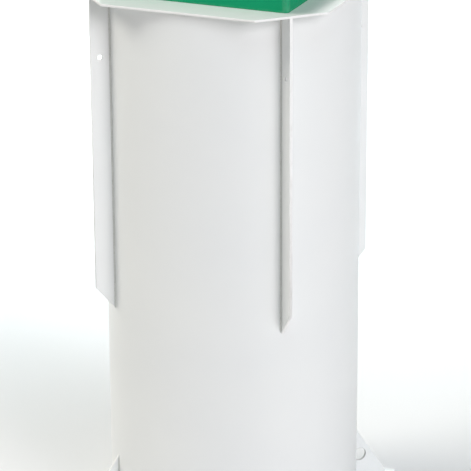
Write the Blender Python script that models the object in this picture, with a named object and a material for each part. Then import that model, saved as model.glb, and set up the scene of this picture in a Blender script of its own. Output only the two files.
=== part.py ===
"""Vertical polypropylene septic tank with a hinged square lid.

Metres, +Z up, front towards -Y. The origin is the centre of the base plate's underside.
The round tank wall stands on a square base plate and carries a square top flange.
Ribs and gussets stand on the plates' diagonals. The lid covers the hatch neck on the
flange and turns about two hinges along its rear edge.
"""

import math

import bmesh
import bpy
from mathutils import Matrix, Vector

# Fit
GAP = 0.0003  # left between pieces that touch
LONGEST_EDGE = 0.120  # a plate's outline is divided so that its faces stay well shaped

# Tank
WALL_RADIUS = 0.420  # outside
WALL_THICKNESS = 0.008
WALL_SEGMENTS = 12
FACETS_PER_SEGMENT = 6
SHEET = 0.010  # base plate, ribs, gussets and the lid's skirt
THIN_SHEET = 0.008  # top flange, hatch neck and the lid's top

# Square plates
PLATE_SIDE = 0.868  # base plate and top flange
FLANGE_CORNER = 0.490  # from the tank's axis to the flange's cut corners
FLANGE_UNDERSIDE = 1.852
MOUTH_SIDE = 0.560  # hatch mouth, inside the neck
NECK_HEIGHT = 0.060

# Ribs under the flange, in their own radial plane
RIB_OUTSIDE = 0.487  # from the tank's axis, just within the flange's cut corners
RIB_LENGTH = 1.067  # along the wall
RIB_CUT = 0.080  # height of the slanted lower end
RIB_HOLE_RADIUS = 0.0085
RIB_HOLE_FROM_AXIS = 0.455
RIB_HOLE_DROP = 0.202  # below the flange

# Gussets on the base plate, in the same planes
GUSSET_HEIGHT = 0.244
GUSSET_TOE = 0.573  # from the tank's axis
GUSSET_TOE_HEIGHT = 0.008
GUSSET_HOLE_RADIUS = 0.023
GUSSET_HOLE_FROM_AXIS = 0.4725
GUSSET_HOLE_HEIGHT = 0.086  # above the base plate

# Lid
LID_SIDE = 0.650
LID_SKIRT_HEIGHT = 0.095
LID_RISE = 0.045  # from the skirt to the crown
CROWN_SIDE = 0.400
LID_CORNER_RADIUS = 0.0095
CORNER_STEPS = 4

# Hinges
HINGE_X = 0.190  # from the middle of the lid to each hinge's middle
LEAF_LENGTH = 0.090
LEAF_WIDTH = 0.040
LEAF_THICKNESS = 0.004
LEAF_CLEAR = 0.010  # from the pin's axis to the leaf, past the other leaf's barrels
LEAF_OFFSET = 0.009  # from the pin's axis to a leaf's seat
BARREL_RADIUS = 0.008
PIN_RADIUS = 0.003
PIN_PLAY = 0.0003
PIN_OVERHANG = 0.002
KNUCKLE_GAP = 0.0005
ROUND_SIDES = 24

# Worked out from the sizes above
BASE_TOP = SHEET
FLANGE_TOP = FLANGE_UNDERSIDE + THIN_SHEET
HALF_PLATE = PLATE_SIDE / 2
HALF_MOUTH = MOUTH_SIDE / 2
HALF_LID = LID_SIDE / 2
HALF_CROWN = CROWN_SIDE / 2
LID_BOTTOM = FLANGE_TOP + GAP
SLOPE = LID_RISE / (HALF_LID - HALF_CROWN)
SLOPE_DEPTH = THIN_SHEET * math.hypot(1, SLOPE)  # the sloping sheet, measured upright
EAVES = LID_BOTTOM + LID_SKIRT_HEIGHT
HINGE_AXIS = Vector((0, HALF_LID + GAP + LEAF_OFFSET, FLANGE_TOP + GAP + LEAF_OFFSET))
DIAGONALS = {
    "front_right": -45,
    "rear_right": 45,
    "rear_left": 135,
    "front_left": 225,
}
SIDES = {"front": 0, "right": 90, "rear": 180, "left": 270}


def clear_scene():
    for old in list(bpy.data.objects):
        bpy.data.objects.remove(old)


def material(name, colour, roughness, metallic=0.0):
    made = bpy.data.materials.new(name)
    made.use_nodes = True
    shader = made.node_tree.nodes["Principled BSDF"]
    shader.inputs["Base Color"].default_value = (*colour, 1)
    shader.inputs["Roughness"].default_value = roughness
    shader.inputs["Metallic"].default_value = metallic
    return made


def arc(radius, start, end, steps, centre=(0, 0)):
    """Points on an arc, both ends included, with its angles in degrees."""
    angles = [math.radians(start + (end - start) * i / steps) for i in range(steps + 1)]
    return [
        (centre[0] + radius * math.cos(a), centre[1] + radius * math.sin(a))
        for a in angles
    ]


def circle(radius, centre=(0, 0), sides=ROUND_SIDES):
    return arc(radius, 0, 360, sides, centre)[:-1]


def rectangle(x0, x1, y0, y1):
    return [(x0, y0), (x1, y0), (x1, y1), (x0, y1)]


def divided(outline, longest=LONGEST_EDGE):
    """The same outline with its long sides cut into equal parts."""
    points = []
    for start, end in zip(outline, [*outline[1:], outline[0]]):
        parts = max(1, math.ceil(math.dist(start, end) / longest))
        points += [Vector(start).lerp(Vector(end), i / parts)[:] for i in range(parts)]
    return points


def extruded(name, outline, bottom, top, holes=()):
    """A mesh made by filling an outline in X and Y, less its holes, and extruding it in Z."""
    bm = bmesh.new()
    edges = []
    for loop in (outline, *holes):
        corners = [bm.verts.new((x, y, bottom)) for x, y in loop]
        edges += [
            bm.edges.new((corners[i - 1], corners[i])) for i in range(len(corners))
        ]
    bmesh.ops.triangle_fill(bm, use_beauty=True, use_dissolve=not holes, edges=edges)
    made = bmesh.ops.extrude_face_region(bm, geom=bm.faces[:])
    raised = [v for v in made["geom"] if isinstance(v, bmesh.types.BMVert)]
    bmesh.ops.translate(bm, vec=(0, 0, top - bottom), verts=raised)
    bmesh.ops.recalc_face_normals(bm, faces=bm.faces[:])
    mesh = bpy.data.meshes.new(name)
    bm.to_mesh(mesh)
    bm.free()
    mesh.shade_smooth()
    mesh.set_sharp_from_angle(angle=math.radians(30))
    return mesh


def turned(mesh, matrix):
    """The same mesh, turned before it is placed."""
    mesh.transform(matrix)
    return mesh


def add(name, mesh, finish, parent=None, location=(0, 0, 0), turn=0.0):
    """A named sub-part, turned about Z by a number of degrees."""
    made = bpy.data.objects.new(name, mesh)
    bpy.context.scene.collection.objects.link(made)
    if not mesh.materials:
        mesh.materials.append(finish)
    made.parent = parent
    made.location = location
    made.rotation_euler.z = math.radians(turn)
    return made


def fuse(target, other):
    """Joins a second body to the target, and keeps it as a hidden helper."""
    other.hide_render = True
    other.display_type = "WIRE"
    join = target.modifiers.new("fuse_" + other.name, "BOOLEAN")
    join.operation = "UNION"
    join.solver = "EXACT"
    join.object = other


def build_base(finish):
    outline = rectangle(-HALF_PLATE, HALF_PLATE, -HALF_PLATE, HALF_PLATE)
    mesh = extruded("base_plate", outline, 0, SHEET)
    add("base_plate", mesh, finish)


def build_wall(finish):
    """The round shell, from the base plate to the flange, in equal upright segments."""
    span = 360 / WALL_SEGMENTS
    trim = math.degrees(GAP / 2 / WALL_RADIUS)
    inside = WALL_RADIUS - WALL_THICKNESS
    outer = arc(WALL_RADIUS, trim, span - trim, FACETS_PER_SEGMENT)
    inner = arc(inside, span - trim, trim, FACETS_PER_SEGMENT)
    height = FLANGE_UNDERSIDE - BASE_TOP - 2 * GAP
    mesh = extruded("wall_segment", outer + inner, 0, height)
    for i in range(WALL_SEGMENTS):
        name = f"wall_segment_{i + 1:02d}"
        add(name, mesh, finish, location=(0, 0, BASE_TOP + GAP), turn=i * span)


def upright(mesh):
    """Stands a flat plate up in the plane of X and Z, centred on its thickness."""
    return turned(mesh, Matrix.Rotation(math.radians(90), 4, "X"))


def build_ribs(finish):
    """Plates under the flange's cut corners, with a lifting hole and a slanted lower end."""
    wall = WALL_RADIUS + GAP
    top = -GAP
    outline = [
        (wall, -RIB_LENGTH),
        (RIB_OUTSIDE, RIB_CUT - RIB_LENGTH),
        (RIB_OUTSIDE, top),
        (wall, top),
    ]
    hole = circle(RIB_HOLE_RADIUS, (RIB_HOLE_FROM_AXIS, -RIB_HOLE_DROP))
    plate = extruded("rib", divided(outline), -SHEET / 2, SHEET / 2, [hole])
    mesh = upright(plate)
    for place, angle in DIAGONALS.items():
        at = (0, 0, FLANGE_UNDERSIDE)
        add("rib_" + place, mesh, finish, location=at, turn=angle)


def build_gussets(finish):
    """Triangular plates between the wall and the base plate, with a large hole."""
    wall = WALL_RADIUS + GAP
    outline = [
        (wall, GAP),
        (GUSSET_TOE, GAP),
        (GUSSET_TOE, GUSSET_TOE_HEIGHT),
        (wall, GUSSET_HEIGHT),
    ]
    hole = circle(GUSSET_HOLE_RADIUS, (GUSSET_HOLE_FROM_AXIS, GUSSET_HOLE_HEIGHT))
    plate = extruded("gusset", divided(outline), -SHEET / 2, SHEET / 2, [hole])
    mesh = upright(plate)
    for place, angle in DIAGONALS.items():
        at = (0, 0, BASE_TOP)
        add("gusset_" + place, mesh, finish, location=at, turn=angle)


def build_flange(finish):
    """Square plate with its corners cut square to the diagonals, and the hatch mouth."""
    along = FLANGE_CORNER * math.sqrt(2) - HALF_PLATE
    corner = [(along, -HALF_PLATE), (HALF_PLATE, -along)]
    outline = []
    for quarter in range(4):
        turn = Matrix.Rotation(math.radians(90 * quarter), 2)
        outline += [tuple(turn @ Vector(point)) for point in corner]
    mouth = rectangle(-HALF_MOUTH, HALF_MOUTH, -HALF_MOUTH, HALF_MOUTH)
    mesh = extruded("top_flange", outline, FLANGE_UNDERSIDE, FLANGE_TOP, [mouth])
    add("top_flange", mesh, finish)


def build_neck(finish):
    """Four low walls round the hatch mouth: front and rear run past the sides' ends."""
    outside = HALF_MOUTH + THIN_SHEET
    half_lengths = {"front": outside, "rear": outside, "right": HALF_MOUTH - GAP}
    half_lengths["left"] = half_lengths["right"]
    for side, half in half_lengths.items():
        outline = rectangle(-half, half, -outside, -HALF_MOUTH)
        mesh = extruded("neck", outline, GAP, NECK_HEIGHT)
        add("neck_" + side, mesh, finish, location=(0, 0, FLANGE_TOP), turn=SIDES[side])


def lid_empty():
    """The lid's frame, on the hinges' axis."""
    pivot = bpy.data.objects.new("lid_pivot", None)
    bpy.context.scene.collection.objects.link(pivot)
    pivot.location = HINGE_AXIS
    return pivot


def rounded_ends(half, depth):
    """Plan of a front or rear skirt wall, with its two outer corners rounded."""
    r = LID_CORNER_RADIUS
    left = arc(r, 180, 270, CORNER_STEPS, (r - half, r - half))
    right = arc(r, 270, 360, CORNER_STEPS, (half - r, r - half))
    return [(-half, depth - half), *left, *right, (half, depth - half)]


def build_lid_skirt(finish, pivot):
    """Front and rear walls over the full width, with the side walls between them."""
    at = -HINGE_AXIS
    height = EAVES - SLOPE_DEPTH - GAP
    wide = rounded_ends(HALF_LID, SHEET)
    inner = HALF_LID - SHEET - GAP
    narrow = rectangle(-inner, inner, -HALF_LID, SHEET - HALF_LID)
    outlines = {"front": wide, "rear": wide, "right": narrow, "left": narrow}
    for side, outline in outlines.items():
        mesh = extruded("lid_skirt", outline, LID_BOTTOM, height)
        name = "lid_skirt_" + side
        add(name, mesh, finish, parent=pivot, location=at, turn=SIDES[side])


def slope_panel():
    """The front sloping panel: its plan runs from the eaves to the crown between mitres."""
    r = LID_CORNER_RADIUS
    steps = CORNER_STEPS // 2
    mitre = GAP / 2 * math.sqrt(2)
    right = arc(r, 270, 315, steps, (HALF_LID - r, r - HALF_LID))
    outer = [(x - mitre if i == steps else x, y) for i, (x, y) in enumerate(right)]
    crown = HALF_CROWN + GAP
    half_plan = [*outer, (crown - mitre, -crown)]
    outline = [*[(-x, y) for x, y in reversed(half_plan)], *half_plan]
    mesh = extruded("lid_slope", outline, -SLOPE_DEPTH, 0)
    for corner in mesh.vertices:
        corner.co.z += EAVES + SLOPE * (HALF_LID + corner.co.y)
    return mesh


def build_lid_top(finish, pivot):
    """Four sloping panels and the flat crown between them."""
    at = -HINGE_AXIS
    mesh = slope_panel()
    for side, angle in SIDES.items():
        name = "lid_slope_" + side
        add(name, mesh, finish, parent=pivot, location=at, turn=angle)
    crown_top = EAVES + LID_RISE
    outline = rectangle(-HALF_CROWN, HALF_CROWN, -HALF_CROWN, HALF_CROWN)
    crown = extruded("lid_crown", outline, crown_top - THIN_SHEET, crown_top)
    add("lid_crown", crown, finish, parent=pivot, location=at)


def along_x(mesh):
    """Turns a shape extruded in Z so that its length runs along X."""
    return turned(mesh, Matrix.Rotation(math.radians(90), 4, "Y"))


def barrel(name, x0, x1, finish, parent, location):
    """A knuckle round the pin, from x0 to x1."""
    hole = circle(PIN_RADIUS + PIN_PLAY)
    mesh = along_x(extruded(name, circle(BARREL_RADIUS), x0, x1, [hole]))
    return add(name, mesh, finish, parent=parent, location=location)


def leaf_outline(tongues):
    """Plan of a leaf: a plate beside the barrels, with a tongue into each of its own."""
    half = LEAF_LENGTH / 2
    edge = [(-half, LEAF_CLEAR)]
    for x0, x1 in tongues:
        edge += [(x0, LEAF_CLEAR), (x0, 0), (x1, 0), (x1, LEAF_CLEAR)]
    edge += [(half, LEAF_CLEAR), (half, LEAF_WIDTH), (-half, LEAF_WIDTH)]
    return list(dict.fromkeys(edge))


def build_hinge(place, middle, finish, pivot):
    """A leaf with the middle knuckle on the lid, a leaf with two on the flange, and the pin."""
    half = LEAF_LENGTH / 2
    third = LEAF_LENGTH / 6
    face = LEAF_OFFSET - LEAF_THICKNESS
    on_lid = Vector((middle, 0, 0))
    on_flange = HINGE_AXIS + on_lid

    tongues = [(KNUCKLE_GAP - third, third - KNUCKLE_GAP)]
    leaf = upright(extruded("lid_leaf", leaf_outline(tongues), face, LEAF_OFFSET))
    lid_leaf = add("lid_leaf_" + place, leaf, finish, parent=pivot, location=on_lid)
    name = "lid_knuckle_" + place
    fuse(lid_leaf, barrel(name, *tongues[0], finish, pivot, on_lid))

    tongues = [(-half, -third), (third, half)]
    leaf = extruded("flange_leaf", leaf_outline(tongues), -LEAF_OFFSET, -face)
    flange_leaf = add("flange_leaf_" + place, leaf, finish, location=on_flange)
    for end, span in zip("ab", tongues):
        name = f"flange_knuckle_{end}_{place}"
        fuse(flange_leaf, barrel(name, *span, finish, None, on_flange))

    reach = half + PIN_OVERHANG
    pin = along_x(extruded("pin", circle(PIN_RADIUS), -reach, reach))
    add("hinge_pin_" + place, pin, finish, location=on_flange)


def main():
    clear_scene()
    white = material("white_polypropylene", (0.83, 0.84, 0.84), 0.42)
    green = material("green_polypropylene", (0.008, 0.30, 0.12), 0.45)
    steel = material("stainless_steel", (0.60, 0.60, 0.58), 0.35, metallic=1.0)
    build_base(white)
    build_wall(white)
    build_ribs(white)
    build_gussets(white)
    build_flange(white)
    build_neck(white)
    pivot = lid_empty()
    build_lid_skirt(green, pivot)
    build_lid_top(green, pivot)
    build_hinge("left", -HINGE_X, steel, pivot)
    build_hinge("right", HINGE_X, steel, pivot)


main()
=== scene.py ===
"""Looks for a vertical white polypropylene septic tank with a hinged green lid.

Laid out as a Blender add-on and run as a script. Metres, +Z up, front towards -Y.
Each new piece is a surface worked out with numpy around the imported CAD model.
"""

import math

import bpy
import numpy as np
from bpy.props import FloatProperty, FloatVectorProperty, PointerProperty
from mathutils import Matrix, Vector


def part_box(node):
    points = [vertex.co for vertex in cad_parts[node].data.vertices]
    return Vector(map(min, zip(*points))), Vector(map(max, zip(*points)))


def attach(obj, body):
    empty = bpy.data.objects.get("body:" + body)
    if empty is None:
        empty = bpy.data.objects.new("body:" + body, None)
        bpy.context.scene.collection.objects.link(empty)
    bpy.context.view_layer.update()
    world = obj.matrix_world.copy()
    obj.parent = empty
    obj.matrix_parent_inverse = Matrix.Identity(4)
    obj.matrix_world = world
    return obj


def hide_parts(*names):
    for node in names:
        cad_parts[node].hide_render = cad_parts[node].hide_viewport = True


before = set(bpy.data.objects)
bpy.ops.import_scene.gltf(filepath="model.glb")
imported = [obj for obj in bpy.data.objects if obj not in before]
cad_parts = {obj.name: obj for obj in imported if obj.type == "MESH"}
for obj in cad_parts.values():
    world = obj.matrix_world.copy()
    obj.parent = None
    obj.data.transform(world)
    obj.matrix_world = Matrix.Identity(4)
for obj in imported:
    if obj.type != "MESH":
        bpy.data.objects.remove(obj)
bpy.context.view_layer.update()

bl_info = {
    "name": "Septic tank finish",
    "version": (1, 0, 0),
    "blender": (4, 5, 0),
    "location": "View3D > Sidebar > Septic tank",
    "description": "Finished surfaces, materials and studio for a polypropylene septic tank",
    "category": "Object",
}

TAU = 2 * math.pi

# Places that the CAD model gives
BASE_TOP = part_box("base_plate")[1].z
HALF_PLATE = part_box("base_plate")[1].x
FLANGE_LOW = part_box("top_flange")[0].z
FLANGE_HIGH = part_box("top_flange")[1].z
NECK_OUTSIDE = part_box("neck_front")[1].x
NECK_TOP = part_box("neck_front")[1].z
LID_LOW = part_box("lid_skirt_front")[0].z
HALF_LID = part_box("lid_skirt_front")[1].x
HALF_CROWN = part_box("lid_crown")[1].x
LID_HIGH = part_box("lid_crown")[1].z
HINGE = {
    side: (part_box("hinge_pin_" + side)[0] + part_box("hinge_pin_" + side)[1]) / 2
    for side in ("left", "right")
}

# Sizes that its boxes don't give, the same as in the part's source
WALL_RADIUS = 0.420
WALL_INSIDE = 0.412
FLANGE_CORNER = 0.490
HALF_MOUTH = 0.280
RIB_OUTSIDE = 0.487
RIB_THICKNESS = 0.010
RIB_LOW = 0.785
RIB_EDGE_LOW = 0.865
RIB_HOLE = (0.455, 1.650, 0.0085)
GUSSET_HIGH = 0.254
GUSSET_TOE = 0.573
GUSSET_TOE_HIGH = 0.018
GUSSET_HOLE = (0.4725, 0.096, 0.023)
LID_SKIRT_SHEET = 0.010
LID_TOP_SHEET = 0.008
LID_SLOPE = 0.36
LEAF_HALF_LENGTH = 0.045
LEAF_NEAR = 0.010
LEAF_FAR = 0.040
LEAF_SEAT = 0.009
LEAF_THICKNESS = 0.004
KNUCKLE_RADIUS = 0.008
PIN_RADIUS = 0.003

# Sizes of the finish alone
ROOT = 0.0025  # how far a rib or a gusset is set into the wall
SEAT = 0.001  # how far it is set into the flange or the base
WALL_SEAT = 0.0005  # how far the wall is set into both plates
NECK_SEAT = 0.0015  # how far the neck is set into the flange
PLATE_CORNER = 0.0025
UPRIGHT_CORNER = 0.002
MOUTH_CORNER = 0.003
NECK_CORNER = 0.005
NECK_INNER_CORNER = 0.002
# Waves of the wall: share of the lift, number round it, turn in a metre of height, start
WALL_WAVES = ((0.7, 3, 0.9, 1.1), (0.3, 8, -2.1, 0.4))
WALL_ROWS = 65
WALL_COLUMNS = 288
LID_INNER_FOLDS = (0.003, 0.012)  # radii under the eaves and under the crown
CROWN_MIDDLE = 0.02  # half of the square that is drawn together to the crown's middle
SIDE_END = 0.975  # share of a side where a row marks the start of its corner
SHOULDER = 0.008  # how far from a fold a row keeps the sheet flat
SHOULDER_SHARE = 0.3  # or this share of a short side
BEAD_STEP = 0.0022  # between the rows along it
BEAD_TAPER = 0.012  # length over which an open end narrows
BEAD_END = 0.45  # size of a bead at its open end
BEAD_TURN = (-12, 102)  # degrees, so that its edges run into both plates
BEAD_BACK = 0.0012  # how far its back is set into the corner
BEAD_STOP = 0.004  # how far it stops short of a plate's end
GUSSET_BEAD_STOP = 0.010
NECK_BEAD = 0.8  # leg of the neck's bead as a share of the others'
LEAF_CORNER = 0.004
LEAF_EASE = 0.0006
WRAP_START = 0.0114  # where the leaf starts to wrap round the pin
WRAP_INSET = 0.0007  # how far inside the leaf's faces its two end rounds are centred
KNUCKLE_EASE = 0.0005
KNUCKLE_PLAY = 0.0005  # between the lid's knuckle and its neighbours
BORE_PLAY = 0.0003
SCREW_PLACES = ((-0.031, 0.030), (0, 0.021), (0.031, 0.030))
SCREW_RADIUS = 0.005
SCREW_SUNK = 0.0003
SCREW_RIM = 0.0002  # height of its upright rim
SCREW_DOME = 0.0018  # height of the dome over the rim
SOCKET_HALF = 0.00165
SOCKET_HIGH = 0.0019
SOCKET_LOW = 0.0006
SOCKET_TAPER = 0.96
PIN_PROUD = 0.002  # how far the pin stands out of the knuckles
PIN_END = ((0, 0.0018), (0.0002, 0.0025), (0.0008, PIN_RADIUS))  # from its end, radius

SIDES = ("front", "rear", "left", "right")
DIAGONALS = {"front_right": -45, "rear_right": 45, "rear_left": 135, "front_left": 225}
ACROSS, REARWARD, UP = np.eye(3)
QUARTER_TURNS = [np.linalg.matrix_power([[0, 1], [-1, 0]], k) for k in range(4)]


# Shapes


def unit(vectors):
    """The same directions with length one."""
    return vectors / np.linalg.norm(vectors, axis=-1, keepdims=True)


def circling(angles):
    """Unit vectors in a plane at these angles."""
    return np.stack([np.cos(angles), np.sin(angles)], -1)


def lifted(flat, level):
    """Points of a plane with this level as their third coordinate."""
    return np.concatenate([flat, level + 0 * flat[..., :1]], -1)


def belt(discs, steps=5, spacing=0.02):
    """Points and outward normals of a tight belt round discs (x, y, radius), anticlockwise.

    The normal n of the straight part between two discs satisfies n . (c2 - c1) = r1 - r2;
    on each disc the belt is the arc c + r n between its two straight parts.
    """
    discs = np.asarray(discs, float)
    centre, radius = discs[:, :2], discs[:, 2:]
    ahead = np.roll(centre, -1, 0) - centre
    length = np.linalg.norm(ahead, axis=1, keepdims=True)
    along = ahead / length
    lean = (radius - np.roll(radius, -1, 0)) / length
    outward = np.stack([along[:, 1], -along[:, 0]], 1)
    normal = lean * along + np.sqrt(1 - lean**2) * outward
    bearing = np.arctan2(normal[:, 1], normal[:, 0])
    points, normals = [], []
    for k in range(len(discs)):
        turn = (bearing[k] - bearing[k - 1]) % TAU
        facing = circling(bearing[k - 1] + turn * np.linspace(0, 1, steps + 1))
        arc = centre[k] + radius[k] * facing
        follow = (k + 1) % len(discs)
        end = centre[follow] + radius[follow] * normal[k]
        parts = max(1, math.ceil(np.linalg.norm(end - arc[-1]) / spacing))
        share = np.linspace(0, 1, parts + 1)[1:-1, None]
        points += [arc, arc[-1] + share * (end - arc[-1])]
        normals += [facing, np.repeat(normal[k][None], parts - 1, 0)]
    return np.concatenate(points), np.concatenate(normals)


def polygon(corners, radius, steps=4, spacing=0.01):
    """A belt outline of a convex polygon, each corner rounded by a disc set into it."""
    corners = np.asarray(corners, float)
    along = unit(np.roll(corners, -1, 0) - corners)
    after = np.stack([along[:, 1], -along[:, 0]], 1)
    before = np.roll(after, 1, 0)
    shift = (before + after) / (1 + (before * after).sum(1, keepdims=True))
    centres = corners - radius * shift
    return belt(np.column_stack([centres, np.full(len(corners), radius)]), steps, spacing)


def square(half, radius):
    """A square outline about the origin with rounded corners."""
    return polygon([(-half, -half), (half, -half), (half, half), (-half, half)], radius)


def bearings(centre, count, *outlines):
    """Even angles about a centre, joined with those of every rounded corner's points."""
    found = [np.linspace(0, TAU, count, endpoint=False)]
    for points, normals in outlines:
        bent = [np.any(normals != np.roll(normals, s, 0), axis=1) for s in (1, -1)]
        arm = points[bent[0] | bent[1]] - centre
        found.append(np.arctan2(arm[:, 1], arm[:, 0]) % TAU)
    angles = np.sort(np.concatenate(found))
    return angles[np.diff(angles, prepend=angles[-1] - TAU) > 4e-4]


def crossed(outline, centre, angles):
    """Where rays from a centre cross an outline: points and normals interpolated by angle."""
    arm = outline[0] - centre
    at = np.arctan2(arm[:, 1], arm[:, 0])
    found = [
        np.stack([np.interp(angles, at, column, period=TAU) for column in part.T], 1)
        for part in outline
    ]
    return found[0], unit(found[1])


def with_square_hole(outline, half, radius, count):
    """An outline and a square hole's rim met by the same rays from the middle."""
    hole = square(half, radius)
    angles = bearings(np.zeros(2), count, outline, hole)
    points, normals = crossed(hole, 0, angles)
    return crossed(outline, 0, angles), (points, -normals)


def with_round_hole(outline, x, y, radius, count=48):
    """An outline and a round hole's rim met by the same rays from the hole's centre."""
    centre = np.array([x, y])
    angles = bearings(centre, count, outline)
    ray = circling(angles)
    return crossed(outline, centre, angles), (centre + radius * ray, -ray)


def eased(outline, thickness, ease, steps=3):
    """Rows over a plate's edge: the outline moved in by ease (1 - cos t), up by ease sin t.

    The upper round ends in a row of its own, and one row midway starts the lower round.
    """
    points, normals = outline
    quarter = np.linspace(0, math.pi / 2, steps + 1)
    turn = np.concatenate([quarter[::-1], -quarter])[:, None, None]
    half = np.repeat([1, 0, -1], [steps + 1, 1, steps])[:, None, None]
    level = half * (thickness / 2 - ease) + ease * np.sin(turn)
    flat = points - ease * (1 - np.cos(turn)) * normals
    return lifted(flat, level), lifted(np.cos(turn) * normals, np.sin(turn))


def shell(points, normals=None, close_rows=True, numbers=0):
    """Faces over a grid of points whose columns close up, with normals and finish numbers.

    Each quad joins neighbours in two rows. Rows close up too, or else each end row is drawn
    together to its middle. The faces are turned outwards by the sign of the volume inside.
    """
    rows, columns = points.shape[:2]
    row = np.arange(rows if close_rows else rows - 1)[:, None]
    column = np.arange(columns)[None]
    near, far = row * columns, (row + 1) % rows * columns
    after = (column + 1) % columns
    quads = np.stack([near + column, near + after, far + after, far + column], -1)
    quads = quads.reshape(-1, 4)
    worked_out = normals is None
    if worked_out:
        lead = points if not close_rows else np.concatenate([points[-1:], points, points[:1]])
        along = np.gradient(lead, axis=0)[slice(1, -1) if close_rows else slice(None)]
        across = np.roll(points, -1, 1) - np.roll(points, 1, 1)
        normals = unit(np.cross(across, along))
    flat, facing = points.reshape(-1, 3), normals.reshape(-1, 3)
    numbers = np.repeat(np.broadcast_to(numbers, len(row)), columns)
    fans = np.zeros((0, 3), int)
    if not close_rows:
        ends = [points[0].mean(0), points[-1].mean(0)]
        tips = [normals[0].mean(0) + 1e-9 * UP, normals[-1].mean(0) + 1e-9 * UP]
        flat, facing = np.vstack([flat, ends]), np.vstack([facing, unit(np.array(tips))])
        first = np.stack([0 * column + rows * columns, after, column], -1)
        last = (rows - 1) * columns
        second = np.stack([0 * column + rows * columns + 1, last + column, last + after], -1)
        fans = np.concatenate([first, second], 1).reshape(-1, 3)
    halves = np.concatenate([quads[:, [0, 1, 2]], quads[:, [0, 2, 3]], fans])
    corner = flat[halves] - flat.mean(0)
    volume = (corner[:, 0] * np.cross(corner[:, 1], corner[:, 2])).sum()
    if volume < 0:
        quads, fans = quads[:, ::-1], fans[:, ::-1]
        if worked_out:
            facing = -facing
    fan_numbers = np.repeat([numbers[0], numbers[-1]], columns)[: len(fans)]
    return flat, facing, quads, fans, numbers, fan_numbers


def placed(made, origin, x=ACROSS, y=REARWARD, z=UP):
    """A shell moved from its own axes to an origin with these three."""
    axes = np.array([x, y, z], float)
    flat, facing, quads, fans, numbers, fan_numbers = made
    if np.linalg.det(axes) < 0:
        quads, fans = quads[:, ::-1], fans[:, ::-1]
    return flat @ axes + np.array(origin), facing @ axes, quads, fans, numbers, fan_numbers


def plate(outer, inner, thickness, ease, face=0, edge=1, bored=None):
    """Shell of a flat plate in x and y, centred on z = 0, with eased edges and at most one hole.

    The last three are the numbers of the finishes on its faces, edges and hole.
    """
    rim, facing = eased(outer, thickness, ease)
    count = len(rim)
    if inner is None:
        *made, ends = shell(rim, facing, close_rows=False, numbers=np.full(count - 1, edge))
        return (*made, np.full_like(ends, face))
    bore, bore_facing = eased(inner, thickness, ease)
    numbers = np.full(2 * count, edge)
    numbers[count:] = edge if bored is None else bored
    numbers[[count - 1, -1]] = face
    grid = np.concatenate([rim, bore[::-1]])
    return shell(grid, np.concatenate([facing, bore_facing[::-1]]), numbers=numbers)


def new_object(name, data):
    """An object in the scene, at the origin."""
    made = bpy.data.objects.new(name, data)
    bpy.context.scene.collection.objects.link(made)
    return made


def add_piece(name, shells, materials, *nodes, body="tank", slot="white_polypropylene"):
    """One object made of shells, with its materials, on a CAD body, in place of CAD nodes."""
    start, points, normals, faces, numbers = 0, [], [], [], []
    for flat, facing, quads, fans, quad_numbers, fan_numbers in shells:
        points.append(flat)
        normals.append(facing)
        faces += (quads + start).tolist() + (fans + start).tolist()
        numbers += [quad_numbers, fan_numbers]
        start += len(flat)
    mesh = bpy.data.meshes.new(name)
    mesh.from_pydata(np.concatenate(points), [], faces)
    mesh.polygons.foreach_set("material_index", np.concatenate(numbers).astype(np.int32))
    mesh.polygons.foreach_set("use_smooth", np.ones(len(mesh.polygons), bool))
    mesh.update()
    mesh.normals_split_custom_set_from_vertices(np.concatenate(normals))
    for material in materials:
        mesh.materials.append(material)
    made = new_object(name, mesh)
    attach(made, body)
    if nodes:
        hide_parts(*nodes)
    return made


# Materials


def linear(colour):
    """Linear light of an sRGB hex colour, with full opacity."""
    parts = [int(colour[i : i + 2], 16) / 255 for i in (1, 3, 5)]
    bright = [p / 12.92 if p <= 0.04045 else ((p + 0.055) / 1.055) ** 2.4 for p in parts]
    return (*bright, 1.0)


def add_node(tree, kind, inputs=None, **settings):
    """A shader node with its settings and inputs: constants, sockets or nodes' first outputs."""
    node = tree.nodes.new("ShaderNode" + kind)
    for key, value in settings.items():
        setattr(node, key, value)
    for key, value in (inputs or {}).items():
        if isinstance(value, bpy.types.Node):
            value = value.outputs[0]
        if isinstance(value, bpy.types.NodeSocket):
            tree.links.new(value, node.inputs[key])
        else:
            node.inputs[key].default_value = value
    return node


def finishes(colours, *kinds):
    """Materials of these kinds, each made once from the colour of its own name."""
    found = []
    for kind in kinds:
        name, inputs = MATERIALS[kind]
        made = bpy.data.materials.get(name)
        if not made:
            made = bpy.data.materials.new(name)
            made.use_nodes = True
            tree = made.node_tree
            tree.nodes.clear()
            where = add_node(tree, "TexCoord").outputs["Object"]
            colour = tuple(getattr(colours, kind))
            shader = add_node(tree, "BsdfPrincipled", inputs(tree, where, colour))
            add_node(tree, "OutputMaterial", {"Surface": shader})
        found.append(made)
    return found


NOISE_RANGE = {"From Min": 0.3, "From Max": 0.7}  # where most of a noise's values lie


def tinted(colour, *factors):
    """A colour made lighter or darker by a factor for each of red, green and blue."""
    return (*[min(1.0, c * f) for c, f in zip(colour[:3], factors)], 1.0)


def patches(tree, where, size, detail, low=0.0, high=1.0):
    """Patches of a size in millimetres, whose values run from low to high."""
    inputs = {"Vector": where, "Scale": 1000 / size, "Detail": detail}
    source = add_node(tree, "TexNoise", inputs)
    inputs = {"Value": source, **NOISE_RANGE, "To Min": low, "To Max": high}
    return add_node(tree, "MapRange", inputs)


# Each of these gives the inputs of one finish's shader. A pattern's scale, its cells in a
# metre, is 1000 over its real size in millimetres. A mix takes its share as input 0 and its
# two colours as inputs 6 and 7.


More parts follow.
